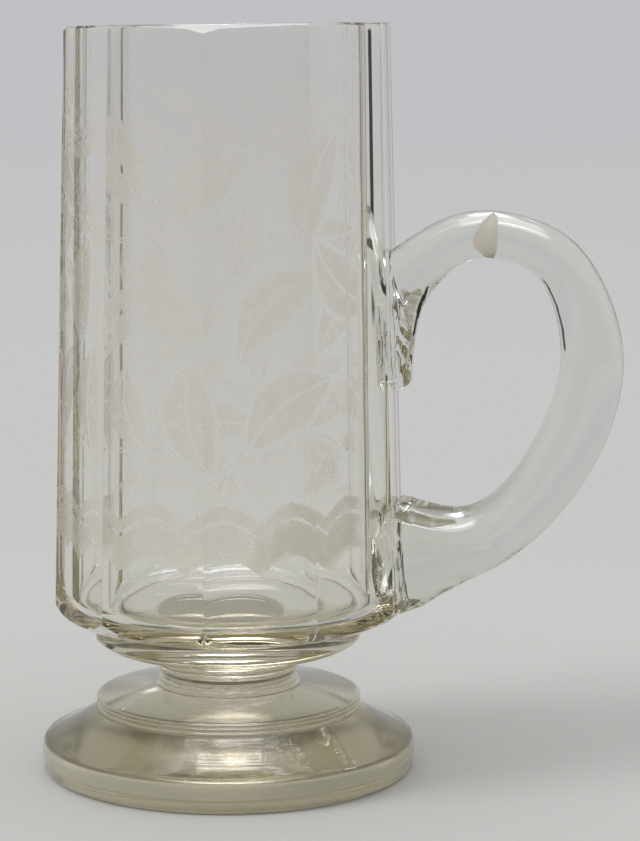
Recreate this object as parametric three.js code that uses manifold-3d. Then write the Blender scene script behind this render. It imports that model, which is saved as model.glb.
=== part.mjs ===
// Footed glass tankard: a ten-sided tapered bowl on a collar, a short stem and
// a stepped round foot, with one drawn loop handle fused to a bowl facet.
// Millimetres, +Z up. The origin is the centre of the foot's flat underside.
// The handle stands on the +X side.
import * as THREE from 'three';
import { mergeVertices } from 'three/addons/utils/BufferGeometryUtils.js';
import Module from 'manifold-3d';

const wasm = await Module();
wasm.setup();

// Foot base
const footRadius = 45.6;
const footUnderInset = 0.7;
const footGirthHeight = 5.2;
const footShoulderHeight = 8.0;
const footShoulderInset = 1.6;
const footBaseHeight = 14.8;
const footSlopeSag = 0.8;

// Foot disc, the upper step of the foot
const discRadius = 32.3;
const discRimHeight = 3.2;
const discRise = 2.3;
const discRingCount = 3;
const discRingDepth = 0.35;

// Stem, with a flared foot, a plain neck and a round bead
const stemRadius = 17.2;
const stemHeight = 7.7;
const stemFlareHeight = 1.4;
const stemBeadHeight = 2.4;
const stemNeckDepth = 0.5;

// Collar under the bowl
const collarRadius = 32.3;
const collarHeight = 8.2;
const collarRimHeight = 3.7;
const collarLip = 0.4;
const collarEdge = 1.8;
const collarSag = 6.6;

// Bowl, hand set a little off the foot's axis, towards the handle
const facetCount = 10;
const bowlShift = 0.8;
const bowlHeight = 143.8;
const bowlRimRadius = 39.2;
const bowlFootRadius = 43.0;
const bowlHeelHeight = 6.0;
const bowlHeelEdge = 0.7;
const bowlHeelRise = 0.9;
const bowlRimWall = 2.3;
const bowlFootWall = 4.0;
const bowlFloor = 4.1;
const cavityCornerRadius = 5.0;
const rimLand = 0.4;

// Handle: a round rod whose sizes are read outward from the facet that carries
// it and upward from the bowl's underside
const handleUpperRise = 73.8;
const handleUpperRadius = 8.0;
const handleBendOut = 13.0;
const handleBendRise = 92.2;
const handleBendRadius = 5.9;
const handleCrownOut = 23.1;
const handleCrownRise = 94.6;
const handleCrownRadius = 5.7;
const handleShoulderOut = 38.9;
const handleShoulderRise = 88.5;
const handleShoulderRadius = 6.0;
const handleReachOut = 47.4;
const handleReachRise = 66.8;
const handleReachRadius = 7.4;
const handleElbowOut = 41.8;
const handleElbowRise = 44.0;
const handleElbowRadius = 7.8;
const handleHeelOut = 24.5;
const handleHeelRise = 23.5;
const handleHeelRadius = 7.8;
const handleLowerRise = 16.3;
const handleLowerRadius = 12.0;

// Pads where the handle's two ends are pressed on the facet
const padWidth = 23.0;
const padEdge = 4.0;
const upperPadRise = 95.3;
const upperPadHeight = 37.6;
const upperPadDepth = 8.9;
const upperPadTipWidth = 12.0;
const upperPadKnuckleDrop = 15.1;
const upperPadTailDepth = 5.0;
const upperPadTailWidth = 15.0;
const upperPadSlant = 2.0;
const lowerPadRise = 31.0;
const lowerPadHeight = 28.4;
const lowerPadDepth = 17.0;
const lowerPadTipWidth = 15.0;
const lowerPadTipHeight = 16.0;
const lowerPadShelf = 5.0;
const lowerPadDip = 2.4;

// Clearance between the handle and the facet it is fused to, and how deep the
// handle's ends start inside the facet before they are trimmed to it
const fuseGap = 0.3;
const rootDepth = 9.0;

// Tint and gloss of the glass, deeper where it is thick
const footTint = 0xb9b4a0;
const stemTint = 0xc8c6b8;
const bowlTint = 0xd6d5cf;
const glassOpacity = 0.45;
const glassRoughness = 0.05;

// Fineness of the round surfaces
const roundSides = 60;
const curveSteps = 8;
const rodSides = 20;
const rodSteps = 36;
const overlap = 2.0;
const mergeDistance = 1e-4;

// Levels of the stack, from the floor up
const discBase = footBaseHeight;
const stemBase = discBase + discRimHeight + discRise;
const collarBase = stemBase + stemHeight;
const bowlBase = collarBase + collarHeight;
const bowlRim = bowlBase + bowlHeight;

// Outer facets of the bowl: the corner radius shrinks evenly towards the rim
const facetHalfAngle = Math.PI / facetCount;
const taper = (bowlFootRadius - bowlRimRadius) / (bowlHeight - bowlHeelHeight);
const cornerRadiusAt = (z) => bowlRimRadius + taper * (bowlRim - z);
const facetDistanceAt = (z) => cornerRadiusAt(z) * Math.cos(facetHalfAngle);

// Solids and booleans

function toSolid(geometry) {
  const bare = geometry.index ? geometry.toNonIndexed() : geometry.clone();
  bare.deleteAttribute('normal');
  bare.deleteAttribute('uv');
  const merged = mergeVertices(bare, mergeDistance);
  const corners = merged.index.array;
  const kept = [];
  for (let i = 0; i < corners.length; i += 3) {
    const [a, b, c] = corners.slice(i, i + 3);
    if (a !== b && b !== c && c !== a) {
      kept.push(a, b, c);
    }
  }
  return new wasm.Manifold(new wasm.Mesh({
    numProp: 3,
    vertProperties: merged.attributes.position.array,
    triVerts: new Uint32Array(kept),
  }));
}

function toGeometry(solid) {
  const { vertProperties, triVerts } = solid.getMesh();
  const geometry = new THREE.BufferGeometry();
  geometry.setAttribute('position', new THREE.BufferAttribute(vertProperties, 3));
  geometry.setIndex(new THREE.BufferAttribute(triVerts, 1));
  geometry.computeVertexNormals();
  return geometry;
}

// A turned solid from an outline of radius and height, bottom to top
function turned(outline) {
  const points = outline.getPoints(curveSteps);
  return new THREE.LatheGeometry(points, roundSides).rotateX(Math.PI / 2);
}

// A prism with the bowl's facets and taper, its flats pushed out by grow
function facetPrism(bottom, top, grow) {
  const spread = grow / Math.cos(facetHalfAngle);
  const prism = new THREE.CylinderGeometry(
    cornerRadiusAt(top) + spread,
    cornerRadiusAt(bottom) + spread,
    top - bottom,
    facetCount,
  );
  return prism
    .rotateX(Math.PI / 2)
    .rotateZ(Math.PI / 2 + facetHalfAngle)
    .translate(0, 0, (bottom + top) / 2);
}

function piece(name, geometry, tint) {
  const material = new THREE.MeshStandardMaterial({
    color: tint,
    roughness: glassRoughness,
    metalness: 0,
    transparent: true,
    opacity: glassOpacity,
  });
  const mesh = new THREE.Mesh(geometry, material);
  mesh.name = name;
  return mesh;
}

// Foot base: flat underside, rounded girth and a hollowed slope up to the disc
function footBase() {
  const shoulderRadius = footRadius - footShoulderInset;
  const slopeMiddle = (footShoulderHeight + footBaseHeight) / 2 - footSlopeSag;
  const outline = new THREE.Path();
  outline.moveTo(0, 0);
  outline.lineTo(footRadius - footUnderInset, 0);
  outline.lineTo(footRadius, footGirthHeight);
  outline.quadraticCurveTo(footRadius, footShoulderHeight, shoulderRadius, footShoulderHeight);
  outline.quadraticCurveTo((shoulderRadius + discRadius) / 2, slopeMiddle, discRadius, footBaseHeight);
  outline.lineTo(0, footBaseHeight);
  return turned(outline);
}

// Foot disc: a rim with fine turned rings under a shallow cone
function footDisc() {
  const ringPitch = discRimHeight / discRingCount;
  const outline = new THREE.Path();
  outline.moveTo(0, discBase);
  outline.lineTo(discRadius - discRingDepth, discBase);
  for (let ring = 0; ring < discRingCount; ring += 1) {
    const ringBase = discBase + ring * ringPitch;
    outline.lineTo(discRadius, ringBase + ringPitch / 2);
    outline.lineTo(discRadius - discRingDepth, ringBase + ringPitch);
  }
  outline.lineTo(stemRadius, stemBase);
  outline.lineTo(0, stemBase);
  return turned(outline);
}

// Stem: a flared foot, a neck and a round bead below the collar
function stem() {
  const neckRadius = stemRadius - stemNeckDepth;
  const beadBase = collarBase - stemBeadHeight;
  const outline = new THREE.Path();
  outline.moveTo(0, stemBase);
  outline.lineTo(stemRadius, stemBase);
  outline.lineTo(neckRadius, stemBase + stemFlareHeight);
  outline.lineTo(neckRadius, beadBase);
  outline.quadraticCurveTo(
    stemRadius + stemNeckDepth,
    (beadBase + collarBase) / 2,
    neckRadius,
    collarBase,
  );
  outline.lineTo(0, collarBase);
  return turned(outline);
}

// Collar: a saucer with a rounded underside that carries the bowl
function collar() {
  const outline = new THREE.Path();
  outline.moveTo(0, collarBase);
  outline.lineTo(stemRadius + collarLip, collarBase);
  outline.quadraticCurveTo(
    collarRadius - collarEdge,
    bowlBase - collarSag,
    collarRadius,
    bowlBase - collarRimHeight,
  );
  outline.lineTo(collarRadius, bowlBase);
  outline.lineTo(0, bowlBase);
  return turned(outline);
}

// Bowl: a round-heeled blank cut to flat facets, bevelled at the rim and hollowed
function bowl() {
  const heelTop = bowlBase + bowlHeelHeight;
  const blankFootRadius = bowlFootRadius + overlap;
  const bevelRadius = facetDistanceAt(bowlRim) + rimLand;
  const bevelDrop = blankFootRadius - bevelRadius;
  const blank = new THREE.Path();
  blank.moveTo(0, bowlBase);
  blank.lineTo(collarRadius, bowlBase);
  blank.quadraticCurveTo(bowlFootRadius - bowlHeelEdge, bowlBase + bowlHeelRise, bowlFootRadius, heelTop);
  blank.lineTo(blankFootRadius, heelTop + overlap);
  blank.lineTo(blankFootRadius, bowlRim - bevelDrop);
  blank.lineTo(bevelRadius, bowlRim);
  blank.lineTo(0, bowlRim);

  const floor = bowlBase + bowlFloor;
  const cavityFloorRadius = facetDistanceAt(floor) - bowlFootWall;
  const cavityRimRadius = facetDistanceAt(bowlRim) - bowlRimWall;
  const cavity = new THREE.Path();
  cavity.moveTo(0, floor);
  cavity.lineTo(cavityFloorRadius - cavityCornerRadius, floor);
  cavity.quadraticCurveTo(cavityFloorRadius, floor, cavityFloorRadius, floor + cavityCornerRadius);
  cavity.lineTo(cavityRimRadius, bowlRim);
  cavity.lineTo(cavityRimRadius, bowlRim + overlap);
  cavity.lineTo(0, bowlRim + overlap);

  const facets = facetPrism(bowlBase - overlap, bowlRim + overlap, 0);
  const outside = toSolid(turned(blank)).intersect(toSolid(facets));
  return toGeometry(outside.subtract(toSolid(turned(cavity)))).translate(bowlShift, 0, 0);
}

// A round rod along a plane route; the route's y value is the rod's radius
function taperedRod(route) {
  const positions = [];
  for (let step = 0; step <= rodSteps; step += 1) {
    const share = step / rodSteps;
    const station = route.getPoint(share);
    const heading = route.getTangent(share);
    const across = new THREE.Vector3(-heading.z, 0, heading.x).normalize();
    for (let side = 0; side < rodSides; side += 1) {
      const angle = (2 * Math.PI * side) / rodSides;
      const inPlane = station.y * Math.cos(angle);
      positions.push(
        station.x + across.x * inPlane,
        station.y * Math.sin(angle),
        station.z + across.z * inPlane,
      );
    }
  }
  const faces = [];
  for (let step = 0; step < rodSteps; step += 1) {
    for (let side = 0; side < rodSides; side += 1) {
      const a = step * rodSides + side;
      const b = step * rodSides + ((side + 1) % rodSides);
      faces.push(a, a + rodSides, b, b, a + rodSides, b + rodSides);
    }
  }
  const last = rodSteps * rodSides;
  for (let side = 1; side < rodSides - 1; side += 1) {
    faces.push(0, side, side + 1);
    faces.push(last, last + side + 1, last + side);
  }
  const rod = new THREE.BufferGeometry();
  rod.setAttribute('position', new THREE.Float32BufferAttribute(positions, 3));
  rod.setIndex(faces);
  return rod;
}

function extruded(outline, depth) {
  return new THREE.ExtrudeGeometry(outline, { depth, bevelEnabled: false, curveSegments: curveSteps });
}

// A pad pressed on the facet: its side view cut by its front and plan views
function pressedPad(sideView, frontView, planView, reach, top) {
  const side = extruded(sideView, padWidth).rotateX(Math.PI / 2).translate(0, padWidth / 2, 0);
  const front = extruded(frontView, reach + overlap).rotateX(Math.PI / 2).rotateZ(Math.PI / 2);
  const plan = extruded(planView, top + overlap);
  return toSolid(side).intersect(toSolid(front)).intersect(toSolid(plan));
}

// Plan view of a pad: full width at the facet, narrowing to its tip
function padPlan(root, wall, tip, tipWidth) {
  const plan = new THREE.Shape();
  plan.moveTo(root, -padWidth / 2);
  plan.lineTo(wall, -padWidth / 2);
  plan.lineTo(tip, -tipWidth / 2);
  plan.lineTo(tip, tipWidth / 2);
  plan.lineTo(wall, padWidth / 2);
  plan.lineTo(root, padWidth / 2);
  return plan;
}

// Upper pad: rounded above, with a tail that thins and narrows downward
function upperPad(root, wall) {
  const halfWidth = padWidth / 2;
  const top = bowlBase + upperPadRise;
  const foot = top - upperPadHeight;
  const knuckle = top - upperPadKnuckleDrop;
  const tip = wall + upperPadDepth;
  const side = new THREE.Shape();
  side.moveTo(root, foot);
  side.lineTo(wall + upperPadTailDepth, foot);
  side.lineTo(tip, knuckle);
  side.quadraticCurveTo(wall + padEdge, top - padEdge, wall - upperPadSlant, top);
  side.lineTo(root, top);
  const front = new THREE.Shape();
  front.moveTo(-upperPadTailWidth / 2, foot);
  front.lineTo(upperPadTailWidth / 2, foot);
  front.lineTo(halfWidth, knuckle);
  front.quadraticCurveTo(halfWidth, top, 0, top);
  front.quadraticCurveTo(-halfWidth, top, -halfWidth, knuckle);
  return pressedPad(side, front, padPlan(root, wall, tip, upperPadTipWidth), tip, top);
}

// Lower pad: an oval foot that flares out of the rod
function lowerPad(root, wall) {
  const top = bowlBase + lowerPadRise;
  const foot = top - lowerPadHeight;
  const tip = wall + lowerPadDepth;
  const tipTop = top - lowerPadDip;
  const side = new THREE.Shape();
  side.moveTo(root, foot);
  side.lineTo(wall + padEdge, foot);
  side.lineTo(tip, tipTop - lowerPadTipHeight);
  side.lineTo(tip, tipTop);
  side.lineTo(wall + lowerPadShelf, top);
  side.lineTo(root, top);
  const front = new THREE.Shape();
  front.absellipse(0, (top + foot) / 2, padWidth / 2, lowerPadHeight / 2, 0, 2 * Math.PI);
  return pressedPad(side, front, padPlan(root, wall, tip, lowerPadTipWidth), tip, top);
}

// Handle: the rod and its two pads, trimmed to the facet that carries them
function handle() {
  const wall = facetDistanceAt(bowlBase + handleReachRise);
  const root = wall - rootDepth;
  const station = (x, rise, radius) => new THREE.Vector3(x, radius, bowlBase + rise);
  const route = new THREE.CatmullRomCurve3([
    station(root, handleUpperRise, handleUpperRadius),
    station(wall + handleBendOut, handleBendRise, handleBendRadius),
    station(wall + handleCrownOut, handleCrownRise, handleCrownRadius),
    station(wall + handleShoulderOut, handleShoulderRise, handleShoulderRadius),
    station(wall + handleReachOut, handleReachRise, handleReachRadius),
    station(wall + handleElbowOut, handleElbowRise, handleElbowRadius),
    station(wall + handleHeelOut, handleHeelRise, handleHeelRadius),
    station(root, handleLowerRise, handleLowerRadius),
  ], false, 'centripetal');
  const bowlSpace = facetPrism(bowlBase - overlap, bowlRim + overlap, fuseGap);
  const joined = toSolid(taperedRod(route))
    .add(upperPad(root, wall))
    .add(lowerPad(root, wall))
    .subtract(toSolid(bowlSpace));
  return toGeometry(joined).translate(bowlShift, 0, 0);
}

const tankard = new THREE.Group();
tankard.name = 'tankard';
tankard.add(
  piece('foot_base', footBase(), footTint),
  piece('foot_disc', footDisc(), footTint),
  piece('stem', stem(), stemTint),
  piece('bowl_collar', collar(), stemTint),
  piece('bowl', bowl(), bowlTint),
  piece('handle', handle(), bowlTint),
);

export default tankard;
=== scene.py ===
import math

import bpy
import numpy as np
import openvdb
from mathutils import Euler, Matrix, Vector, noise


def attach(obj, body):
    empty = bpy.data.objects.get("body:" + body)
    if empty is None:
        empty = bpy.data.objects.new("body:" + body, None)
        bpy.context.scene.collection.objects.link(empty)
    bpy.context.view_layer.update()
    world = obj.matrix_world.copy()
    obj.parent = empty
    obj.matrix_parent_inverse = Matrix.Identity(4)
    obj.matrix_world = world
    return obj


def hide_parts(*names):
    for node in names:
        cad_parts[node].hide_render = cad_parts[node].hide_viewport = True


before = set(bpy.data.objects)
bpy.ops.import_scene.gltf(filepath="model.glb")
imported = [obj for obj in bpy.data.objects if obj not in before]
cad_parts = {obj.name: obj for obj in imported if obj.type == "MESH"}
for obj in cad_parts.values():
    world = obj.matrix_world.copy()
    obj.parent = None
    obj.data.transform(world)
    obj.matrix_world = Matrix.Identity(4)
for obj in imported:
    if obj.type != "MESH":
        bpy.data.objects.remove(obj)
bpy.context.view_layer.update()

MM = 0.001

# Sizes of the tankard in millimetres
BOWL_SHIFT = 0.8
BOWL_RIM = 180.0
BOWL_BASE = 36.2
BOWL_SEAT = 31.3
RIM_RADIUS = 39.2
HEEL_RADIUS = 43.0
HEEL_TOP = 42.2
COLLAR_RADIUS = 32.3
STEM_TOP = 28.0
STEM_LOWER_SEAT = 16.9
STEM_UPPER_SEAT = 16.7
DISC_TOP = 20.3
FOOT_TOP = 14.8
FOOT_SEAT = 31.8
FACETS = 10
FACET_HALF = math.pi / FACETS
TAPER = (HEEL_RADIUS - RIM_RADIUS) / (BOWL_RIM - HEEL_TOP)
# Space between two stacked pieces
SEAT_GAP = 0.02

# The photograph's viewing direction, turned from square to the handle's plane
VIEW_TURN = math.radians(6.8)


def corner_radius(z):
    return RIM_RADIUS + TAPER * (BOWL_RIM - z)


def facet_distance(z):
    return corner_radius(z) * math.cos(FACET_HALF)


def bezier(p0, p1, p2, steps):
    t = np.linspace(0.0, 1.0, steps + 1)[:, None]
    p0, p1, p2 = (np.array(p, float) for p in (p0, p1, p2))
    return (1 - t) ** 2 * p0 + 2 * t * (1 - t) * p1 + t * t * p2


# Meshes

LATHE_SIDES = 180
LATHE_SHARP_DEG = 28.0


def add_values(piece, name, domain, values):
    layer = piece.data.attributes.new(name, "FLOAT", domain)
    layer.data.foreach_set("value", np.asarray(values, float))


def finish_mesh(name, verts, faces, seat, sharp_deg=None):
    mesh = bpy.data.meshes.new(name)
    mesh.from_pydata([tuple(v) for v in np.asarray(verts) * MM], [], faces)
    mesh.validate()
    for polygon in mesh.polygons:
        polygon.use_smooth = True
    if sharp_deg:
        mesh.set_sharp_from_angle(angle=math.radians(sharp_deg))
    piece = bpy.data.objects.new(name, mesh)
    bpy.context.scene.collection.objects.link(piece)
    add_values(piece, "seat", "FACE", seat)
    return piece


def skin(name, rows, seat_bands, sharp_deg, wear=None):
    """Faces between rows of points; a row of one point is a pole."""
    starts = []
    verts = []
    for row in rows:
        starts.append(len(verts))
        verts.extend(row)
    faces = []
    bands = []
    for i in range(len(rows) - 1):
        low, high = len(rows[i]), len(rows[i + 1])
        count = max(low, high)
        a, b = starts[i], starts[i + 1]
        for j in range(count):
            k = (j + 1) % count
            if low == 1:
                face = (a, b + k, b + j)
            elif high == 1:
                face = (a + j, a + k, b)
            else:
                face = (a + j, a + k, b + k, b + j)
            faces.append(face)
            bands.append(i)
    piece = finish_mesh(name, verts, faces, [band in seat_bands for band in bands], sharp_deg)
    if wear:
        add_values(piece, "frost", "FACE", [wear[band] if band < len(wear) else 0.0 for band in bands])
    return piece


def lathe(name, profile, seat_bands, wear=None):
    turn = np.linspace(0.0, 2 * math.pi, LATHE_SIDES, endpoint=False)
    rows = []
    for r, z in profile:
        if r > 0:
            row = np.stack([r * np.cos(turn), r * np.sin(turn), np.full(LATHE_SIDES, z)], axis=1)
        else:
            row = np.array([[0.0, 0.0, z]])
        rows.append(row)
    return skin(name, rows, seat_bands, LATHE_SHARP_DEG, wear)


# Shader nodes

def maths(tree, kind, *values):
    node = tree.nodes.new("ShaderNodeMath")
    node.operation = kind
    for socket, value in zip(node.inputs, values):
        if isinstance(value, (int, float)):
            socket.default_value = value
        else:
            tree.links.new(value, socket)
    return node.outputs[0]


def product(tree, first, *others):
    for other in others:
        first = maths(tree, "MULTIPLY", first, other)
    return first


def ramp(tree, value, start, end, low=0.0, high=1.0):
    node = tree.nodes.new("ShaderNodeMapRange")
    node.interpolation_type = "SMOOTHSTEP"
    for name, number in (("From Min", start), ("From Max", end), ("To Min", low), ("To Max", high)):
        node.inputs[name].default_value = number
    tree.links.new(value, node.inputs["Value"])
    return node.outputs["Result"]


def window(tree, value, rise, fall):
    """1 between two soft edges, each given as where it is 0 and where it is 1."""
    return product(tree, ramp(tree, value, *rise), ramp(tree, value, *fall))


def apart(tree, value, middle, start, end):
    """A ramp of the distance from a middle value."""
    gap = maths(tree, "ABSOLUTE", maths(tree, "SUBTRACT", value, middle))
    return ramp(tree, gap, start, end)


def blend(tree, factor, first, second):
    mix = tree.nodes.new("ShaderNodeMix")
    mix.data_type = "RGBA"
    tree.links.new(factor, mix.inputs["Factor"])
    for socket, value in ((mix.inputs[6], first), (mix.inputs[7], second)):
        if isinstance(value, tuple):
            socket.default_value = value
        else:
            tree.links.new(value, socket)
    return mix.outputs[2]


def mix_shaders(tree, factor, first, second):
    mix = tree.nodes.new("ShaderNodeMixShader")
    tree.links.new(factor, mix.inputs["Fac"])
    tree.links.new(first, mix.inputs[1])
    tree.links.new(second, mix.inputs[2])
    return mix.outputs["Shader"]


def attribute(tree, name):
    node = tree.nodes.new("ShaderNodeAttribute")
    node.attribute_name = name
    return node.outputs["Fac"]


def object_place(tree):
    return tree.nodes.new("ShaderNodeTexCoord").outputs["Object"]


def split_place(tree, place):
    split = tree.nodes.new("ShaderNodeSeparateXYZ")
    tree.links.new(place, split.inputs[0])
    return split.outputs


def axis_distance(tree, x, y):
    return maths(tree, "SQRT", maths(tree, "ADD", product(tree, x, x), product(tree, y, y)))


# Glass

GLASS_IOR = 1.5
CLEAR_COLOR = (0.985, 0.985, 0.98, 1.0)
ABSORB_COLOR = (0.75, 0.70, 0.53, 1.0)
ABSORB_DENSITY = 20.0
# Where the fused mark between two vertices turns from glass to joint
FUSED_RAMP = (0.4, 0.6)


def clear_glass(name, absorb=ABSORB_COLOR, density=ABSORB_DENSITY):
    """Clear glass; light goes straight through its seats and its fused faces."""
    material = bpy.data.materials.new(name)
    material.use_nodes = True
    tree = material.node_tree
    tree.nodes.clear()
    out = tree.nodes.new("ShaderNodeOutputMaterial")
    body = tree.nodes.new("ShaderNodeBsdfPrincipled")
    body.inputs["Base Color"].default_value = CLEAR_COLOR
    body.inputs["Roughness"].default_value = 0.0
    body.inputs["IOR"].default_value = GLASS_IOR
    body.inputs["Transmission Weight"].default_value = 1.0
    straight = tree.nodes.new("ShaderNodeBsdfTransparent")
    fused = ramp(tree, attribute(tree, "fused"), *FUSED_RAMP)
    joined = maths(tree, "MAXIMUM", attribute(tree, "seat"), fused)
    surface = mix_shaders(tree, joined, body.outputs["BSDF"], straight.outputs["BSDF"])
    tree.links.new(surface, out.inputs["Surface"])
    inside = tree.nodes.new("ShaderNodeVolumeAbsorption")
    inside.inputs["Color"].default_value = absorb
    inside.inputs["Density"].default_value = density
    tree.links.new(inside.outputs["Volume"], out.inputs["Volume"])
    return material, tree, body


def make_matt(tree, body, matt, color, rough, clear, rough_at=(0.0, 1.0), clear_at=(0.0, 1.0)):
    """Where matt is 1 the glass has this colour, the second roughness and this share of clearness."""
    tree.links.new(blend(tree, matt, CLEAR_COLOR, color), body.inputs["Base Color"])
    tree.links.new(ramp(tree, matt, *rough_at, *rough), body.inputs["Roughness"])
    tree.links.new(ramp(tree, matt, *clear_at, 1.0, clear), body.inputs["Transmission Weight"])


# Turned lines on the foot, above its girth (metres)
LINES_SCALE = 900.0
LINES_DETAIL = 3.0
LINES_STRENGTH = 0.05
LINES_DEPTH = 0.0004
LINES_RISE = (0.0076, 0.0086)


def foot_material():
    material, tree, body = clear_glass("tankard_foot_glass", density=24.0)
    make_matt(tree, body, attribute(tree, "frost"), (0.94, 0.90, 0.69, 1.0), rough=(0.05, 0.13), clear=0.65,
              rough_at=(0.0, 0.3), clear_at=(0.22, 1.0))
    x, y, z = split_place(tree, object_place(tree))
    lines = tree.nodes.new("ShaderNodeTexNoise")
    lines.noise_dimensions = "1D"
    lines.inputs["Scale"].default_value = LINES_SCALE
    lines.inputs["Detail"].default_value = LINES_DETAIL
    tree.links.new(maths(tree, "SUBTRACT", axis_distance(tree, x, y), z), lines.inputs["W"])
    bump = tree.nodes.new("ShaderNodeBump")
    bump.inputs["Distance"].default_value = LINES_DEPTH
    tree.links.new(ramp(tree, z, *LINES_RISE, 0.0, LINES_STRENGTH), bump.inputs["Strength"])
    tree.links.new(lines.outputs["Fac"], bump.inputs["Height"])
    tree.links.new(bump.outputs["Normal"], body.inputs["Normal"])
    return material


def stem_material():
    return clear_glass("tankard_stem_glass")[0]


# Matt-cut decoration of the bowl: scattered leaves over a waved ribbon, in metres

# Layers of leaves: cell, half length and half width in cells, swing in radians, seed, weight
LEAF_LAYERS = (
    (0.0098, 0.48, 0.23, 4.6, 9.0, 0.7),
    (0.0150, 0.52, 0.24, 3.6, 7.0, 0.55),
    (0.0205, 0.55, 0.25, 3.0, 4.0, 0.8),
    (0.0265, 0.54, 0.25, 2.2, 1.0, 1.0),
)
# Each row's shift, where a leaf's middle may be and its bend, in cells; then its soft edges
LEAF_ROW_SHIFT = 0.37
LEAF_ACROSS = (0.36, 0.64)
LEAF_UP = (0.42, 0.58)
LEAF_BEND = 0.5
LEAF_EDGE = (0.0, 0.2)
LEAF_VEIN = (0.006, 0.022)
LEAF_MARGIN = (-0.16, -0.06)
LEAVES_RADIUS = 0.041
LEAVES_RISE = (0.069, 0.080)
LEAVES_FALL = (0.174, 0.158)
RIBBON_RISE = (0.0545, 0.0551)
RIBBON_FALL = (0.0672, 0.0665)
RIBBON_WAVES = 7.5
RIBBON_WAVE_HEIGHT = 0.0045
RIBBON_CUT = 0.0632
RIBBON_CUT_EDGE = (0.0003, 0.0007)
# Only the outside of the front is cut: distance from the axis and angles round the bowl
CUT_OUTSIDE = (0.0371, 0.0374)
CUT_RISE = (-3.1, -3.0)
CUT_FALL = (-0.5, -0.62)
# Grain of the cut: the noise, its range and the least and most matt that it gives
GRAIN_SCALE = 420.0
GRAIN_DETAIL = 4.0
GRAIN_RAMP = (0.3, 0.55, 0.6, 1.0)


def leaf_layer(tree, along, up, cell, length, width, swing, seed):
    """One layer's leaves, and the margin round them that hides the layers below."""
    v = maths(tree, "DIVIDE", up, cell)
    row = maths(tree, "FLOOR", v)
    u = maths(tree, "ADD", maths(tree, "DIVIDE", along, cell), product(tree, row, LEAF_ROW_SHIFT))
    place = tree.nodes.new("ShaderNodeCombineXYZ")
    tree.links.new(maths(tree, "FLOOR", u), place.inputs[0])
    tree.links.new(row, place.inputs[1])
    place.inputs[2].default_value = seed
    chance = tree.nodes.new("ShaderNodeTexWhiteNoise")
    chance.noise_dimensions = "3D"
    tree.links.new(place.outputs[0], chance.inputs["Vector"])
    split = tree.nodes.new("ShaderNodeSeparateColor")
    tree.links.new(chance.outputs["Color"], split.inputs[0])
    middle_across = ramp(tree, split.outputs[0], 0.0, 1.0, *LEAF_ACROSS)
    middle_up = ramp(tree, split.outputs[1], 0.0, 1.0, *LEAF_UP)
    x = maths(tree, "SUBTRACT", maths(tree, "FRACT", u), middle_across)
    y = maths(tree, "SUBTRACT", maths(tree, "FRACT", v), middle_up)
    turn = product(tree, maths(tree, "SUBTRACT", split.outputs[2], 0.5), swing)
    cos, sin = maths(tree, "COSINE", turn), maths(tree, "SINE", turn)
    across = maths(tree, "ADD", product(tree, x, cos), product(tree, y, sin))
    lengthwise = maths(tree, "SUBTRACT", product(tree, y, cos), product(tree, x, sin))
    across = maths(tree, "SUBTRACT", across, product(tree, lengthwise, lengthwise, LEAF_BEND))
    side = maths(tree, "DIVIDE", maths(tree, "ABSOLUTE", across), width)
    reach = maths(tree, "DIVIDE", maths(tree, "ABSOLUTE", lengthwise), length)
    inside = maths(tree, "SUBTRACT", 1.0, maths(tree, "ADD", side, product(tree, reach, reach)))
    blade = product(tree, ramp(tree, inside, *LEAF_EDGE), apart(tree, across, 0.0, *LEAF_VEIN))
    return blade, ramp(tree, inside, *LEAF_MARGIN)


def foliage(tree):
    place = object_place(tree)
    x, y, z = split_place(tree, place)
    turn = maths(tree, "ARCTAN2", y, maths(tree, "SUBTRACT", x, BOWL_SHIFT * MM))
    along = product(tree, turn, LEAVES_RADIUS)
    leaves = 0.0
    for *shape, weight in LEAF_LAYERS:
        layer, margin = leaf_layer(tree, along, z, *shape)
        leaves = product(tree, leaves, maths(tree, "SUBTRACT", 1.0, margin))
        leaves = maths(tree, "ADD", leaves, product(tree, layer, weight))
    leaves = product(tree, leaves, window(tree, z, LEAVES_RISE, LEAVES_FALL))
    wave = maths(tree, "ABSOLUTE", maths(tree, "SINE", product(tree, turn, RIBBON_WAVES)))
    level = maths(tree, "SUBTRACT", z, product(tree, wave, RIBBON_WAVE_HEIGHT))
    ribbon = product(tree, window(tree, level, RIBBON_RISE, RIBBON_FALL),
                     apart(tree, level, RIBBON_CUT, *RIBBON_CUT_EDGE))
    outside = ramp(tree, axis_distance(tree, x, y), *CUT_OUTSIDE)
    grain = tree.nodes.new("ShaderNodeTexNoise")
    grain.inputs["Scale"].default_value = GRAIN_SCALE
    grain.inputs["Detail"].default_value = GRAIN_DETAIL
    tree.links.new(place, grain.inputs["Vector"])
    matt = maths(tree, "MAXIMUM", leaves, ribbon)
    return product(tree, matt, ramp(tree, grain.outputs["Fac"], *GRAIN_RAMP), outside,
                   window(tree, turn, CUT_RISE, CUT_FALL))


def bowl_material():
    material, tree, body = clear_glass("tankard_bowl_glass", absorb=(0.70, 0.64, 0.36, 1.0), density=18.0)
    make_matt(tree, body, foliage(tree), (0.88, 0.83, 0.74, 1.0), rough=(0.0, 0.36), clear=0.85)
    return material


# Colour of the handle's chip; painted shade in its folds (olive) and in its crease (near black), and the
# painted shade value of a fold and a crease
CHIP_COLOR = (0.66, 0.61, 0.51, 1.0)
CHIP_RAMP = (0.3, 0.7)
# Olive painted shade in the folds
FOLD_SHADE_COLOR = (0.36, 0.345, 0.17, 1.0)
FOLD_MATT = 0.8
FOLD_SHADE = 0.6
# Near-black painted shade in the tail's crease, in place of a dark refraction
CREASE_SHADE_COLOR = (0.005, 0.005, 0.004, 1.0)
CREASE_SHADE = 1.6


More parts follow.
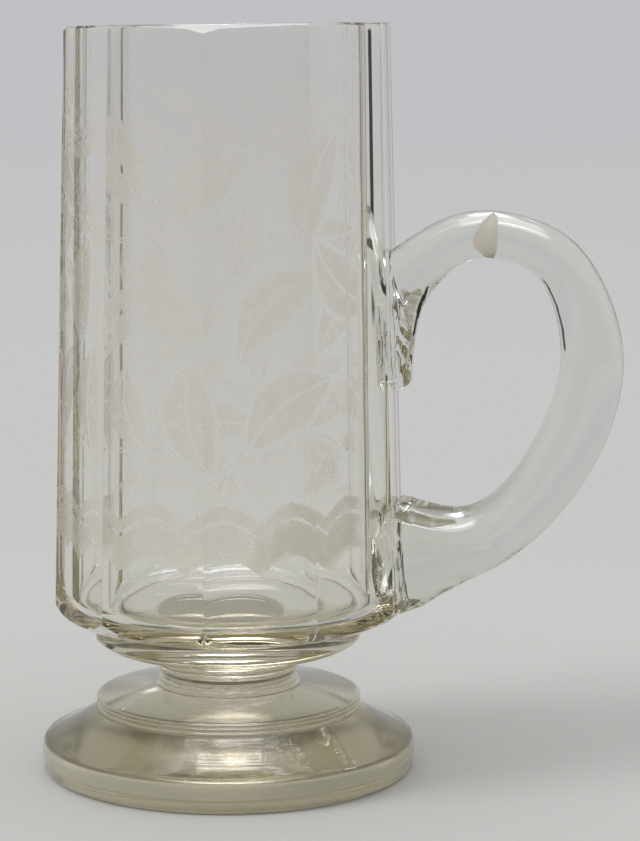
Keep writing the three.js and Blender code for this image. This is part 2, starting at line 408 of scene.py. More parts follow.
def handle_material():
    material, tree, body = clear_glass("tankard_handle_glass", absorb=(0.72, 0.72, 0.62, 1.0), density=21.0)
    # The folds get an olive painted shade and the crease a near-black painted shade, standing in for the
    # dark refraction there; both are also rough and partly matt
    painted_shade = attribute(tree, "fold")
    crease = ramp(tree, painted_shade, FOLD_SHADE, 1.0)
    color = blend(tree, ramp(tree, painted_shade, 0.0, FOLD_SHADE), CHIP_COLOR, FOLD_SHADE_COLOR)
    color = blend(tree, crease, color, CREASE_SHADE_COLOR)
    folds = maths(tree, "MAXIMUM", ramp(tree, painted_shade, 0.0, FOLD_SHADE, 0.0, FOLD_MATT), crease)
    matt = maths(tree, "MAXIMUM", ramp(tree, attribute(tree, "frost"), *CHIP_RAMP), folds)
    make_matt(tree, body, matt, color, rough=(0.0, 0.6), clear=0.5)
    return material


# Foot, stem and collar: radius and height of each outline's points, in millimetres

FOOT_WALL = ((44.2, 0.0), (44.9, 0.6), (45.35, 3.2), (45.58, 3.5), (45.52, 3.9))
FOOT_GIRTH = ((45.6, 4.6), (45.6, 8.0), (44.0, 8.0))
FOOT_SLOPE = ((44.0, 8.0), (38.15, 10.6), (32.3, FOOT_TOP))
GIRTH_STEPS = 8
SLOPE_STEPS = 14
# How worn each band of the foot is, from the underside up
FOOT_WEAR = (0.3, 0.3, 0.64, 0.5, 0.8, 0.8, 0.8, 0.8, 0.8, 0.8, 0.5, 0.3)
RING_COUNT = 3
RING_STEPS = 5
RING_PITCH = 1.05
RING_RADIUS = 31.95
RING_HEIGHT = 0.35
RING_START = FOOT_TOP + 0.05
DISC_SLOPE = ((31.9, 18.0), (31.0, 18.25), (18.4, 20.12), (17.6, DISC_TOP))
# Turned beads of the stem: where each starts, what it bulges towards and where it ends
STEM_BEADS = (
    ((17.5, 20.34), (17.9, 20.9), (16.8, 21.3)),
    ((16.5, 21.5), (17.7, 21.9), (16.5, 22.3)),
    ((16.2, 22.6), (16.5, 23.4), (16.2, 24.2)),
    ((16.2, 24.4), (17.6, 24.7), (16.4, 25.1)),
    ((16.3, 25.2), (18.7, 26.0), (16.4, 26.8)),
    ((16.4, 26.9), (17.9, 27.4), (16.9, 27.9)),
)
BEAD_STEPS = 10
COLLAR_CURVE = ((17.6, 28.1), (30.5, 29.6), (COLLAR_RADIUS, 32.5))
COLLAR_STEPS = 16
COLLAR_EDGE = 36.15


def foot_base():
    girth = bezier(*FOOT_GIRTH, GIRTH_STEPS)
    slope = bezier(*FOOT_SLOPE, SLOPE_STEPS)
    profile = [(0, 0), *FOOT_WALL, *girth, *slope[1:], (FOOT_SEAT, FOOT_TOP), (0, FOOT_TOP)]
    return lathe("tankard_foot_base", profile, {len(profile) - 2}, FOOT_WEAR)


def foot_disc():
    base = FOOT_TOP + SEAT_GAP
    profile = [(0, base), (FOOT_SEAT, base)]
    for step in range(RING_COUNT * RING_STEPS):
        ring, share = step // RING_STEPS, step % RING_STEPS / RING_STEPS
        bulge = RING_HEIGHT * math.sin(math.pi * share)
        profile.append((RING_RADIUS + bulge, RING_START + RING_PITCH * (ring + share)))
    profile += [*DISC_SLOPE, (STEM_LOWER_SEAT, DISC_TOP), (0, DISC_TOP)]
    return lathe("tankard_foot_disc", profile, {0, len(profile) - 2})


def stem():
    base = DISC_TOP + SEAT_GAP
    profile = [(0, base), (STEM_LOWER_SEAT, base)]
    for bead in STEM_BEADS:
        profile += [*bezier(*bead, BEAD_STEPS)]
    profile += [(STEM_UPPER_SEAT, STEM_TOP), (0, STEM_TOP)]
    return lathe("tankard_stem", profile, {0, len(profile) - 2})


def collar():
    base = STEM_TOP + SEAT_GAP
    profile = [(0, base), (STEM_UPPER_SEAT, base), *bezier(*COLLAR_CURVE, COLLAR_STEPS)]
    profile += [(COLLAR_RADIUS, COLLAR_EDGE), (BOWL_SEAT, BOWL_BASE), (0, BOWL_BASE)]
    return lathe("tankard_collar", profile, {0, len(profile) - 2})


# Where the handle's two pads are fused to the bowl's facet, in millimetres

# Distance from the axis to the facet, at the tail's height
WALL = facet_distance(103.0) + BOWL_SHIFT
# Each pad's depth out from the facet and half width, at these heights
UPPER_HEIGHTS = (93.6, 94.2, 96.0, 98.5, 100.5, 103.0, 106.0, 110.0, 113.0, 115.5, 118.0, 119.5)
UPPER_DEPTHS = (1.5, 4.2, 5.0, 4.7, 4.9, 5.1, 5.5, 6.2, 7.0, 7.9, 8.8, 9.0)
UPPER_WIDTHS = (4.6, 5.8, 6.6, 6.4, 7.0, 7.0, 7.0, 6.8, 6.4, 6.0, 5.6, 5.4)
LOWER_HEIGHTS = (38.8, 39.4, 41.0, 44.0, 48.0, 51.0, 54.0, 60.0, 63.5, 65.8, 67.0)
LOWER_DEPTHS = (1.0, 4.6, 8.4, 12.2, 17.6, 21.6, 25.0, 20.0, 15.0, 9.0, 2.5)
LOWER_WIDTHS = (3.0, 5.2, 7.4, 9.4, 11.0, 11.4, 11.6, 11.0, 9.6, 7.4, 4.4)
# Step of the smoothed tables, and the steps on each side that the smoothing takes in
TABLE_STEP = 0.25
TABLE_REACH = 9
# The rod's own mark on the facet, above the tail: height, half height and half width
ROD_MARK = (119.0, 8.6, 6.6)
# Wrinkles that stay open between pad and facet, more of them near the pad's edge
WRINKLE_START = 0.22
WRINKLE_DEPTH = 1.1
WRINKLE_ACROSS = 0.42
WRINKLE_UP = 0.11
WRINKLE_SLANT = 0.05
WRINKLE_LAYER = 3.0
FINE_WRINKLES = 2.1
FINE_SHARE = 0.5
EDGE_REACH = 3.0
EDGE_SHARE = 0.5
# The tail is pressed on loosely, so it has more wrinkles (negative) than the rest
CALM_HEIGHTS = (70.0, 92.0, 97.0, 110.0, 114.0)
CALM_LEVELS = (0.0, 0.0, -0.22, -0.22, 0.05)
# Pad and facet are fused where the gap is less than this and the edge is farther off than this
FUSED_GAP = 0.02
FUSED_INSIDE = 0.5


def smooth_table(heights, *columns):
    """The same table at fine steps, its corners rounded off."""
    fine = np.arange(heights[0], heights[-1], TABLE_STEP)
    weights = np.hanning(2 * TABLE_REACH + 1)
    weights /= weights.sum()
    out = [fine]
    for column in columns:
        values = np.interp(fine, heights, column)
        out.append(np.convolve(np.pad(values, TABLE_REACH, "edge"), weights, "valid"))
    return tuple(out)


PADS = (
    smooth_table(UPPER_HEIGHTS, UPPER_DEPTHS, UPPER_WIDTHS),
    smooth_table(LOWER_HEIGHTS, LOWER_DEPTHS, LOWER_WIDTHS),
)


def contact_gap(y, z):
    """Depth of the wrinkles between pad and facet, and how far inside the pad's edge the place is."""
    inside = -1.0
    for heights, _, widths in PADS:
        if heights[0] < z < heights[-1]:
            width = float(np.interp(z, heights, widths))
            inside = max(inside, min(width - abs(y), z - heights[0], heights[-1] - z))
    middle, half_height, half_width = ROD_MARK
    rho = math.hypot((z - middle) / half_height, y / half_width)
    inside = max(inside, (1.0 - rho) * half_width)
    spot = Vector((WRINKLE_ACROSS * y + WRINKLE_SLANT * z, WRINKLE_UP * z, WRINKLE_LAYER))
    wrinkle = noise.noise(spot) + FINE_SHARE * noise.noise(spot * FINE_WRINKLES)
    edge = max(0.0, 1.0 - inside / EDGE_REACH) ** 2
    calm = float(np.interp(z, CALM_HEIGHTS, CALM_LEVELS))
    return max(0.0, WRINKLE_DEPTH * (wrinkle - WRINKLE_START - calm + EDGE_SHARE * edge)), inside


def mark_fused(piece, verts, near):
    values = np.zeros(len(verts))
    for i in np.nonzero(near)[0]:
        gap, inside = contact_gap(float(verts[i, 1]), float(verts[i, 2]))
        values[i] = gap < FUSED_GAP and inside > FUSED_INSIDE
    add_values(piece, "fused", "POINT", values)


# Bowl, in millimetres; ridges are counted from the handle's facet

BOWL_SHARP_DEG = 24.0
RIDGE_FILLETS = (2.5, 8.0, 8.0, 8.0, 6.0, 0.6, 0.6, 0.6, 0.6, 0.6)
# A fillet below this size has few steps
SMALL_FILLET = 1.0
RIDGE_STEPS = 5
ROUND_STEPS = 15
FLAT_STOPS = (-1.0, -0.95, -0.7, -0.35, 0.0, 0.35, 0.7, 0.95, 1.0)
CONTACT_STOPS = (-1.0, *np.linspace(-0.97, 0.97, 40), 1.0)
# Radius and height that the heel's curve is pulled towards
HEEL_PULL = (42.3, BOWL_BASE + 0.9)
HEEL_STEPS = 400
HEEL_ROWS = 13
# Shares of the way up the wall and the bevel; the rows are close where the handle is fused
WALL_STOPS = (0.004, *np.linspace(0.01, 0.68, 90), 0.8, 0.9, 0.97, 0.996, 1.0)
BEVEL_STOPS = (0.1, 0.5, 0.9, 1.0)
# Depth of the rim's bevel at each ridge, and its least width between the ridges
RIDGE_DIPS = (0.2, 0.5, 0.8, 1.0, 1.1, 1.2, 0.9, 2.0, 0.5, 0.2)
RIDGE_EDGES = (0.22, 0.22, 0.22, 0.22, 0.22, 0.22, 0.35, 0.9, 0.35, 0.22)
RIM_TILT = 0.45
LIP = 0.8
LIP_STEPS = 5
MOUTH_RADIUS = 35.6
CAVITY_RADIUS = 37.2
CAVITY_FLOOR = 40.3
CAVITY_FILLET = 5.0
CAVITY_STEPS = 10
INNER_STOPS = np.linspace(0.02, 0.97, 72)
FLOOR_RADII = (30.0, 26.0, 21.0, 16.0, 11.0, 6.0, 2.0)
FLOOR_DOME = 0.9
DOME_RADIUS = 31.85
# Waves of the blown inner wall: their height and their lengths round and up the bowl
WAVE_HEIGHT = 0.035
WAVE_ROUND = 14.0
WAVE_UP = 7.0
# How far from the facet a vertex may be and still count as on it
FACET_REACH = 0.05


def columns():
    """Directions round the bowl and the share of the corner radius in each."""
    size = corner_radius((BOWL_RIM + BOWL_BASE) / 2)
    flat = size * math.cos(FACET_HALF)
    points = []
    for facet in range(FACETS):
        face_turn = 2 * FACET_HALF * facet
        nx, ny = math.cos(face_turn), math.sin(face_turn)
        before, after = RIDGE_FILLETS[facet - 1], RIDGE_FILLETS[facet]
        low = -(flat - before) * math.tan(FACET_HALF)
        high = (flat - after) * math.tan(FACET_HALF)
        for stop in CONTACT_STOPS if facet == 0 else FLAT_STOPS:
            place = low + (high - low) * (stop + 1.0) / 2.0
            points.append((flat * nx - place * ny, flat * ny + place * nx))
        ridge_turn = face_turn + FACET_HALF
        centre = (flat - after) / math.cos(FACET_HALF)
        steps = RIDGE_STEPS if after < SMALL_FILLET else ROUND_STEPS
        for step in range(1, steps):
            turn = face_turn + 2 * FACET_HALF * step / steps
            points.append((
                centre * math.cos(ridge_turn) + after * math.cos(turn),
                centre * math.sin(ridge_turn) + after * math.sin(turn),
            ))
    points = np.array(points)
    return np.arctan2(points[:, 1], points[:, 0]), np.hypot(points[:, 0], points[:, 1]) / size


def round_rim(values, turns):
    """A value given at each ridge, eased between two ridges."""
    place = (turns - FACET_HALF) / (2 * FACET_HALF)
    low = np.floor(place).astype(int)
    share = place - low
    ease = share * share * (3 - 2 * share)
    values = np.array(values)
    return values[low % FACETS] * (1 - ease) + values[(low + 1) % FACETS] * ease


def outer_rings(turns, shares, top):
    """Radius and height of the rings up the outside: heel, facets and the rim's bevel."""
    heel = bezier((BOWL_SEAT, BOWL_BASE + SEAT_GAP), HEEL_PULL, (HEEL_RADIUS, HEEL_TOP), HEEL_STEPS)
    heel_shares = heel[:, 0] / corner_radius(heel[:, 1])
    last = np.minimum(np.searchsorted(heel_shares, shares), HEEL_STEPS)
    for stop in np.linspace(0.0, 1.0, HEEL_ROWS):
        yield heel[np.round(stop * last).astype(int)].T
    outer = shares * RIM_RADIUS
    bevel = np.minimum(RIM_RADIUS - round_rim(RIDGE_DIPS, turns), outer - round_rim(RIDGE_EDGES, turns))
    low = heel[last, 1]
    edge = top - (outer - bevel)
    for stop in WALL_STOPS:
        height = low + (edge - low) * stop
        yield shares * corner_radius(height), height
    for stop in BEVEL_STOPS:
        yield outer * (1 - stop) + bevel * stop, edge + (top - edge) * stop


def inner_rings(turns, top):
    """Radius and height of the rings down the inside: lip, waved wall, corner and domed floor."""
    lip = bezier((MOUTH_RADIUS + LIP, 0.0), (MOUTH_RADIUS, 0.0), (MOUTH_RADIUS, -LIP), LIP_STEPS)
    for radius, drop in lip:
        yield radius, top + drop
    corner = CAVITY_FLOOR + CAVITY_FILLET
    for stop in INNER_STOPS:
        height = top - LIP + (corner - top + LIP) * stop
        radius = MOUTH_RADIUS + (CAVITY_RADIUS - MOUTH_RADIUS) * stop
        x, y = radius * np.cos(turns) / WAVE_ROUND, radius * np.sin(turns) / WAVE_ROUND
        waves = [noise.noise(Vector(spot)) for spot in zip(x, y, height / WAVE_UP)]
        yield radius + WAVE_HEIGHT * np.array(waves), height
    yield from bezier((CAVITY_RADIUS, corner), (CAVITY_RADIUS, CAVITY_FLOOR),
                      (CAVITY_RADIUS - CAVITY_FILLET, CAVITY_FLOOR), CAVITY_STEPS)
    for radius in FLOOR_RADII:
        yield radius, CAVITY_FLOOR + FLOOR_DOME * (1 - (radius / DOME_RADIUS) ** 2)


def bowl():
    turns, shares = columns()
    top = BOWL_RIM + RIM_TILT * np.cos(turns + VIEW_TURN)
    rows = [np.array([[BOWL_SHIFT, 0.0, BOWL_BASE + SEAT_GAP]])]
    for radius, height in (*outer_rings(turns, shares, top), *inner_rings(turns, top)):
        x, y = BOWL_SHIFT + radius * np.cos(turns), radius * np.sin(turns)
        rows.append(np.stack([x, y, np.broadcast_to(height, len(turns))], axis=1))
    rows.append(np.array([[BOWL_SHIFT, 0.0, CAVITY_FLOOR + FLOOR_DOME]]))
    piece = skin("tankard_bowl", rows, {0}, BOWL_SHARP_DEG)
    verts = np.array([v.co for v in piece.data.vertices]) / MM
    off = verts[:, 0] - BOWL_SHIFT - facet_distance(verts[:, 2])
    mark_fused(piece, verts, np.abs(off) < FACET_REACH)
    return piece


# Handle: a drawn rod with two pressed pads, as one smooth body, in millimetres

# The rod's route: distance out from the facet, height and the rod's radius
ROUTE = (
    (-9.0, 110.0, 8.0),
    (13.0, 128.4, 5.9),
    (23.1, 130.8, 5.7),
    (38.9, 124.7, 6.0),
    (47.4, 103.0, 7.4),
    (41.8, 80.2, 7.8),
    (24.5, 59.7, 7.8),
    (-9.0, 52.5, 12.0),
)
ROUTE_STEPS = 44
VOXEL = 0.42
HANDLE_BOX = ((WALL - 1.2, 97.5), (-13.2, 13.3), (36.6, 139.0))
# Distance that stands for far outside
FAR = 6.0
PAD_BLENDS = (2.5, 4.0)
# Weights of the smoothing passes, in and out by turns
SMOOTHING = (0.5, -0.53) * 6
# The handle's gap to the facet, the softness of its edge, and how near a vertex counts as on it
CONTACT_GAP = 0.06
CONTACT_BLEND = 0.3
CONTACT_REACH = 0.12

# Folds left where the soft glass was crimped: painted shade value, then distance out, height and radius of
# each point
FOLDS = (
    (FOLD_SHADE, ((6.6, 117.6, 0.5), (5.9, 115.6, 1.7), (5.2, 113.2, 2.0), (4.8, 110.6, 1.2),
                  (4.6, 109.0, 0.4))),
    (FOLD_SHADE, ((5.0, 105.0, 1.2), (4.7, 103.2, 1.1), (4.3, 100.8, 0.4))),
    # The crease along the tail's edge gets the near-black painted shade
    (CREASE_SHADE, ((8.6, 118.4, 0.2), (7.1, 114.0, 0.75), (5.9, 110.0, 0.7), (5.2, 106.0, 0.55),
                    (4.8, 102.5, 0.4), (4.5, 100.0, 0.2))),
    (FOLD_SHADE, ((1.5, 64.4, 0.8), (5.5, 63.8, 1.5), (10.5, 62.8, 1.3), (15.0, 62.6, 0.6))),
    (FOLD_SHADE, ((2.0, 41.4, 1.1), (3.8, 42.1, 1.5), (6.4, 43.3, 0.6))),
)
# Softness of a fold's lip, and how far outside it the painted shade fades
FOLD_BLEND = 0.5
FOLD_EDGE = 0.25

# Outline of the chipped flake: its left and right edges at each height
CHIP_HEIGHTS = (125.0, 125.6, 126.2, 127.2, 128.3, 129.3, 130.4, 132.4, 134.0, 135.2, 136.2)
CHIP_LEFTS = (63.7, 62.7, 61.7, 60.3, 59.55, 59.3, 59.45, 60.4, 61.5, 62.7, 64.0)
CHIP_RIGHTS = (63.7, 64.2, 64.6, 64.9, 65.1, 65.15, 65.2, 65.25, 65.2, 64.95, 64.0)
# Its depth, the width of its sloping edge and the width over which it turns matt
CHIP_DEPTH = 0.5
CHIP_SLOPE = 1.2
CHIP_EDGE = 0.8


def route_points():
    """Centripetal curve through the route, with the rod's radius as third value."""
    knots = np.array([(WALL + out, z, r) for out, z, r in ROUTE])
    first = 2 * knots[0] - knots[1]
    last = 2 * knots[-1] - knots[-2]
    control = np.vstack([first, knots, last])
    points = []
    for i in range(len(knots) - 1):
        p = control[i:i + 4]
        gaps = np.sqrt(np.linalg.norm(np.diff(p, axis=0), axis=1))
        t = np.concatenate([[0.0], np.cumsum(gaps)])
        for s in np.linspace(t[1], t[2], ROUTE_STEPS, endpoint=i == len(knots) - 2):
            a = [((t[j + 1] - s) * p[j] + (s - t[j]) * p[j + 1]) / (t[j + 1] - t[j]) for j in range(3)]
            b = [((t[j + 2] - s) * a[j] + (s - t[j]) * a[j + 1]) / (t[j + 2] - t[j]) for j in range(2)]
            points.append(((t[2] - s) * b[0] + (s - t[1]) * b[1]) / (t[2] - t[1]))
    return np.array(points)


def smooth_min(a, b, k):
    h = np.clip(0.5 + 0.5 * (b - a) / k, 0.0, 1.0)
    return b + (a - b) * h - k * h * (1 - h)


def smooth_max(a, b, k):
    return -smooth_min(-a, -b, k)


def rod_field(xs, ys, zs):
    """Distance from the rod's skin on a grid, negative inside."""
    field = np.full((len(xs), len(ys), len(zs)), FAR)
    path = route_points()
    for (xa, za, ra), (xb, zb, rb) in zip(path[:-1], path[1:]):
        reach = max(ra, rb) + FAR
        ix = (xs > min(xa, xb) - reach) & (xs < max(xa, xb) + reach)
        iz = (zs > min(za, zb) - reach) & (zs < max(za, zb) + reach)
        if not ix.any() or not iz.any():
            continue
        gx, gy, gz = np.meshgrid(xs[ix], ys, zs[iz], indexing="ij")
        dx, dz = xb - xa, zb - za
        along = np.clip(((gx - xa) * dx + (gz - za) * dz) / (dx * dx + dz * dz), 0.0, 1.0)
        gap = np.sqrt((gx - xa - along * dx) ** 2 + gy ** 2 + (gz - za - along * dz) ** 2)
        block = np.ix_(ix, np.ones(len(ys), bool), iz)
        field[block] = np.minimum(field[block], gap - (ra + (rb - ra) * along))
    return field


def pad_field(x, y, z, heights, depths, widths):
    held = np.clip(z, heights[0], heights[-1])
    depth = np.interp(held, heights, depths)
    width = np.interp(held, heights, widths)
    out = np.maximum(x - WALL, 0.0)
    rho = np.sqrt((out / depth) ** 2 + (y / width) ** 2)
    side = (rho - 1.0) * np.minimum(depth, width)
    over = np.abs(z - held)
    return np.where(over > 0, np.hypot(np.maximum(side, 0.0), over), side)


def near_face(field, axes, out, z):
    """The camera-side surface at one place."""
    xs, ys, zs = axes
    column = field[int(round((WALL + out - xs[0]) / VOXEL)), :, int(round((z - zs[0]) / VOXEL))]
    return ys[int(np.argmax(column < 0.0))] if (column < 0.0).any() else 0.0


def fold_grooves(field, axes):
    """Painted shade value, ends and end radii of each straight stretch of the folds."""
    grooves = []
    for painted_shade, fold in FOLDS:
        ends = [(np.array((WALL + out, near_face(field, axes, out, z), z)), r) for out, z, r in fold]
        for (start, start_radius), (end, end_radius) in zip(ends[:-1], ends[1:]):
            grooves.append((painted_shade, (start, end, start_radius, end_radius)))
    return grooves


def groove_depth(x, y, z, start, end, start_radius, end_radius):
    step = end - start
    along = (x - start[0]) * step[0] + (y - start[1]) * step[1] + (z - start[2]) * step[2]
    along = np.clip(along / float(step @ step), 0.0, 1.0)
    gap = np.sqrt((x - start[0] - along * step[0]) ** 2 + (y - start[1] - along * step[1]) ** 2
                  + (z - start[2] - along * step[2]) ** 2)
    return start_radius + (end_radius - start_radius) * along - gap


def chip_inside(x, y, z):
    """How far inside the chipped flake's outline a place is, negative outside."""
    left = np.interp(z, CHIP_HEIGHTS, CHIP_LEFTS)
    right = np.interp(z, CHIP_HEIGHTS, CHIP_RIGHTS)
    return np.where(y < 0.0, np.minimum(x - left, right - x), -CHIP_SLOPE)


def polygonise(field, axes):
    """The field's smoothed skin as vertices and quads that face outward."""
    grid = openvdb.FloatGrid()
    grid.copyFromArray(field.astype(np.float32))
    points, _, quads = grid.convertToPolygons(isovalue=0.0, adaptivity=0.0)
    verts = points * VOXEL + np.array([axis[0] for axis in axes])
    for weight in SMOOTHING:
        total = np.zeros_like(verts)
        share = np.zeros(len(verts))
        for a, b in ((0, 1), (1, 2), (2, 3), (3, 0)):
            np.add.at(total, quads[:, a], verts[quads[:, b]])
            np.add.at(total, quads[:, b], verts[quads[:, a]])
            np.add.at(share, quads[:, a], 1.0)
            np.add.at(share, quads[:, b], 1.0)
        verts = verts + weight * (total / share[:, None] - verts)
    corners = verts[quads]
    volume = 0.0
    for second, third in ((1, 2), (2, 3)):
        volume += np.sum(corners[:, 0] * np.cross(corners[:, second], corners[:, third]))
    return verts, quads if volume > 0 else quads[:, ::-1]


def handle():
    axes = [np.arange(low, high, VOXEL) for low, high in HANDLE_BOX]
    xs, ys, zs = axes
    field = rod_field(xs, ys, zs)
    gx, gy, gz = np.meshgrid(xs, ys, zs, indexing="ij")
    for pad, softness in zip(PADS, PAD_BLENDS):
        field = smooth_min(field, pad_field(gx, gy, gz, *pad), softness)
    grooves = fold_grooves(field, axes)
    for _, groove in grooves:
        field = smooth_max(field, groove_depth(gx, gy, gz, *groove), FOLD_BLEND)
    field = field + CHIP_DEPTH * np.clip(chip_inside(gx, gy, gz) / CHIP_SLOPE, 0.0, 1.0)
    contact = BOWL_SHIFT + facet_distance(zs) + CONTACT_GAP
    wrinkles = np.array([[contact_gap(float(y), float(z))[0] for z in zs] for y in ys])
    field = smooth_max(field, contact[None, None, :] + wrinkles[None, :, :] - gx, CONTACT_BLEND)
    verts, quads = polygonise(field, axes)
    # Each vertex in or near a fold gets that fold's painted shade value
    painted_shades = np.zeros(len(verts))
    for painted_shade, groove in grooves:
        inside = np.clip(groove_depth(*verts.T, *groove) / FOLD_EDGE + 1.0, 0.0, 1.0)
        painted_shades = np.maximum(painted_shades, painted_shade * inside)
    piece = finish_mesh("tankard_handle", verts, quads.tolist(), np.zeros(len(quads)))
    add_values(piece, "fold", "POINT", painted_shades)
    add_values(piece, "frost", "POINT", np.clip(chip_inside(*verts.T) / CHIP_EDGE + 0.5, 0.0, 1.0))
    off = verts[:, 0] - BOWL_SHIFT - facet_distance(verts[:, 2]) - CONTACT_GAP
    mark_fused(piece, verts, np.abs(off) < CONTACT_REACH)
    return piece


# The six pieces

def dress(piece, material, node):
    piece.data.materials.append(material)
    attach(piece, "root")
    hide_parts(node)


foot_glass = foot_material()
stem_glass = stem_material()
dress(foot_base(), foot_glass, "foot_base")
dress(foot_disc(), foot_glass, "foot_disc")
dress(stem(), stem_glass, "stem")
dress(collar(), stem_glass, "bowl_collar")
dress(bowl(), bowl_material(), "bowl")
dress(handle(), handle_material(), "handle")

# Floor: a sheet of pale paper that fades into the backdrop, in metres

FLOOR_DROP = 0.0003
FLOOR_RADIUS = 0.6
FLOOR_SIDES = 96
FLOOR_FADE = (0.12, 0.45)
PAPER_COLOR = (0.60, 0.60, 0.586, 1.0)


def add_floor():
    turn = np.linspace(0.0, 2 * math.pi, FLOOR_SIDES, endpoint=False)
    verts = [(FLOOR_RADIUS * math.cos(t), FLOOR_RADIUS * math.sin(t), -FLOOR_DROP) for t in turn]
    mesh = bpy.data.meshes.new("floor")
    mesh.from_pydata(verts, [], [tuple(range(len(verts)))])
    floor = bpy.data.objects.new("floor", mesh)
    bpy.context.scene.collection.objects.link(floor)
    material = bpy.data.materials.new("floor_paper")
    material.use_nodes = True
    tree = material.node_tree
    tree.nodes.clear()
    out = tree.nodes.new("ShaderNodeOutputMaterial")
    paper = tree.nodes.new("ShaderNodeBsdfDiffuse")
    paper.inputs["Color"].default_value = PAPER_COLOR
    clear = tree.nodes.new("ShaderNodeBsdfTransparent")
    length = tree.nodes.new("ShaderNodeVectorMath")
    length.operation = "LENGTH"
    tree.links.new(object_place(tree), length.inputs[0])
    fade = ramp(tree, length.outputs["Value"], *FLOOR_FADE)
    surface = mix_shaders(tree, fade, paper.outputs["BSDF"], clear.outputs["BSDF"])
    tree.links.new(surface, out.inputs["Surface"])
    mesh.materials.append(material)


# Studio that glass and polish show; up, ahead and side are shares of a direction of length 1

# Towards the camera, and to the right in its view
FRONT = Vector((math.sin(VIEW_TURN), -math.cos(VIEW_TURN), 0.0))
SIDE = Vector((math.cos(VIEW_TURN), math.sin(VIEW_TURN), 0.0))
# Pale backdrop in three steps up
SKY_LOW = (0.568, 0.569, 0.565, 1.0)
SKY_HIGH = (0.531, 0.531, 0.556, 1.0)
SKY_TOP = (0.55, 0.555, 0.54, 1.0)
SKY_HIGH_UP = (-0.13, -0.02)
SKY_TOP_UP = (0.0, 0.12)
# Darker side towards the camera, as reflections and as rays through glass show it
ROOM = (0.05, 0.05, 0.05, 1.0)
ROOM_THROUGH = (0.48, 0.48, 0.47, 1.0)
ROOM_AHEAD = (0.2, 0.55)
ROOM_RISE = (-0.10, -0.05)
ROOM_FALL = (0.45, 0.30)
# A narrow black flag to the right, behind: its direction from straight back and half its width
FLAG_COLOR = (0.002, 0.002, 0.002, 1.0)
FLAG_TURN = math.radians(56.0)
FLAG_HALF = math.radians(5.0)
FLAG_EDGE = (1.15, 0.85)
FLAG_RISE = (-0.135, -0.09)
FLAG_FALL = (0.45, 0.35)
# The ceiling's lamps are placed by side and ahead over up, with up held above this
LEAST_UP = 0.05
SOFTBOX = (4.4, 4.4, 4.35, 1.0)
SOFTBOX_THROUGH = (1.25, 1.25, 1.25, 1.0)
SOFTBOX_SIDE = (0.5, 0.38)
SOFTBOX_RISE = (-0.34, -0.2)
SOFTBOX_FALL = (0.84, 0.72)
SOFTBOX_UP = (0.2, 0.4)
# Strip lamps: side, ahead, half sizes, radiance, and whether they show only after a reflection;
# the others show to every ray but one that comes through glass
STRIPS = (
    (0.0, -0.46, 0.17, 0.24, (15.0, 15.1, 17.0, 1.0), True),
    (0.0, 0.45, 0.34, 0.1, (12.0, 12.0, 12.0, 1.0), False),
    (0.42, -0.92, 0.05, 0.08, (5.0, 5.0, 5.6, 1.0), True),
)
STRIP_SIDE_EDGE = (1.8, 0.2)
STRIP_AHEAD_EDGE = (1.3, 0.7)
STRIP_UP = (0.3, 0.4)
# What lights a surface that scatters light
LIT_COLOR = (0.815, 0.815, 0.815, 1.0)


def facing(tree, place, direction):
    dot = tree.nodes.new("ShaderNodeVectorMath")
    dot.operation = "DOT_PRODUCT"
    dot.inputs[1].default_value = direction
    tree.links.new(place, dot.inputs[0])
    return dot.outputs["Value"]


def studio_color(tree, path):
    """Colour of the studio in each direction."""
    place = tree.nodes.new("ShaderNodeTexCoord").outputs["Generated"]
    up = split_place(tree, place)[2]
    ahead = facing(tree, place, FRONT)
    side = facing(tree, place, SIDE)
    through = path.outputs["Is Transmission Ray"]
    color = blend(tree, ramp(tree, up, *SKY_HIGH_UP), SKY_LOW, SKY_HIGH)
    color = blend(tree, ramp(tree, up, *SKY_TOP_UP), color, SKY_TOP)
    room = product(tree, ramp(tree, ahead, *ROOM_AHEAD), window(tree, up, ROOM_RISE, ROOM_FALL))
    color = blend(tree, room, color, blend(tree, through, ROOM, ROOM_THROUGH))
    turn = maths(tree, "ARCTAN2", side, product(tree, ahead, -1.0))
    flag = product(tree, apart(tree, turn, FLAG_TURN, *(FLAG_HALF * share for share in FLAG_EDGE)),
                   window(tree, up, FLAG_RISE, FLAG_FALL))
    color = blend(tree, flag, color, FLAG_COLOR)
    lift = maths(tree, "MAXIMUM", up, LEAST_UP)
    ceiling_side = maths(tree, "DIVIDE", side, lift)
    ceiling_ahead = maths(tree, "DIVIDE", ahead, lift)
    box = product(tree, apart(tree, ceiling_side, 0.0, *SOFTBOX_SIDE),
                  window(tree, ceiling_ahead, SOFTBOX_RISE, SOFTBOX_FALL), ramp(tree, up, *SOFTBOX_UP))
    color = blend(tree, box, color, blend(tree, through, SOFTBOX, SOFTBOX_THROUGH))
    reflected = maths(tree, "GREATER_THAN", path.outputs["Glossy Depth"], 0.5)
    direct = maths(tree, "SUBTRACT", 1.0, through)
    for at_side, at_ahead, half_side, half_ahead, radiance, only_reflected in STRIPS:
        side_edge = (half_side * share for share in STRIP_SIDE_EDGE)
        ahead_edge = (half_ahead * share for share in STRIP_AHEAD_EDGE)
        strip = product(tree, apart(tree, ceiling_side, at_side, *side_edge),
                        apart(tree, ceiling_ahead, at_ahead, *ahead_edge),
                        ramp(tree, up, *STRIP_UP), reflected if only_reflected else direct)
        color = blend(tree, strip, color, radiance)
    return color


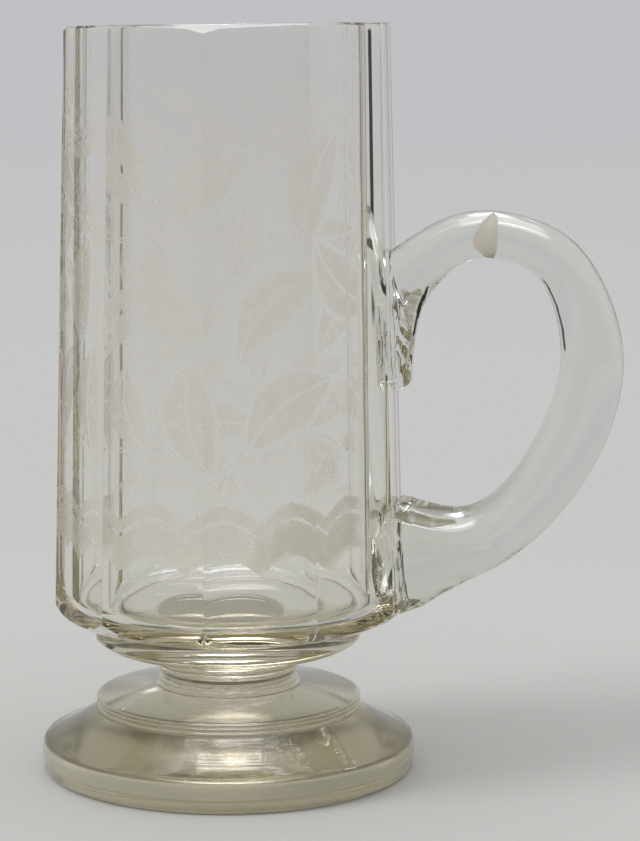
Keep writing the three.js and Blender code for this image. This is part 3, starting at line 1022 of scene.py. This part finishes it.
def add_world():
    world = bpy.data.worlds.new("studio")
    bpy.context.scene.world = world
    world.use_nodes = True
    world.cycles.sampling_method = "NONE"
    tree = world.node_tree
    tree.nodes.clear()
    out = tree.nodes.new("ShaderNodeOutputWorld")
    path = tree.nodes.new("ShaderNodeLightPath")
    seen = tree.nodes.new("ShaderNodeBackground")
    tree.links.new(studio_color(tree, path), seen.inputs["Color"])
    lit = tree.nodes.new("ShaderNodeBackground")
    lit.inputs["Color"].default_value = LIT_COLOR
    scattered = maths(tree, "GREATER_THAN", path.outputs["Diffuse Depth"], 0.5)
    surface = mix_shaders(tree, scattered, seen.outputs["Background"], lit.outputs["Background"])
    tree.links.new(surface, out.inputs["Surface"])


# Soft sun for the shadow, from the left and a little in front

SUN_ENERGY = 0.93
SUN_ANGLE = math.radians(28.0)
SUN_LIFT = math.radians(40.0)
SUN_LEFT = 0.94
SUN_AHEAD = 0.34


def add_key():
    data = bpy.data.lights.new("key", "SUN")
    data.energy = SUN_ENERGY
    data.angle = SUN_ANGLE
    key = bpy.data.objects.new("key", data)
    bpy.context.scene.collection.objects.link(key)
    level = math.cos(SUN_LIFT)
    towards = -SIDE * level * SUN_LEFT + FRONT * level * SUN_AHEAD + Vector((0.0, 0.0, math.sin(SUN_LIFT)))
    key.rotation_euler = towards.to_track_quat("Z", "Y").to_euler()
    key.visible_glossy = False
    key.visible_transmission = False


# Camera at the photograph's place, in millimetres from the foot's centre, with its focal length in pixels

IMAGE_HEIGHT = 841.0
FOCAL_PIXELS = 2754.6
SENSOR_WIDTH = 36.0
CLIP_START = 0.01
CAMERA_SIDE = 22.388
CAMERA_AHEAD = 658.65
CAMERA_HEIGHT = 183.45
CAMERA_TILT = math.radians(8.493)


def add_camera():
    data = bpy.data.cameras.new("camera")
    data.lens = FOCAL_PIXELS * SENSOR_WIDTH / IMAGE_HEIGHT
    data.sensor_width = SENSOR_WIDTH
    data.clip_start = CLIP_START
    camera = bpy.data.objects.new("camera", data)
    bpy.context.scene.collection.objects.link(camera)
    camera.location = (
        (CAMERA_SIDE * math.cos(VIEW_TURN) + CAMERA_AHEAD * math.sin(VIEW_TURN)) * MM,
        (CAMERA_SIDE * math.sin(VIEW_TURN) - CAMERA_AHEAD * math.cos(VIEW_TURN)) * MM,
        CAMERA_HEIGHT * MM,
    )
    camera.rotation_euler = Euler((math.pi / 2 - CAMERA_TILT, 0.0, VIEW_TURN), "XYZ")
    bpy.context.scene.camera = camera


add_floor()
add_world()
add_key()
add_camera()
bpy.context.scene.view_settings.view_transform = "Standard"

# Bounces that thick glass needs
GLASS_BOUNCES = 32
GLOSSY_BOUNCES = 16
cycles = bpy.context.scene.cycles
cycles.max_bounces = GLASS_BOUNCES
cycles.transmission_bounces = GLASS_BOUNCES
cycles.glossy_bounces = GLOSSY_BOUNCES
cycles.transparent_max_bounces = GLASS_BOUNCES
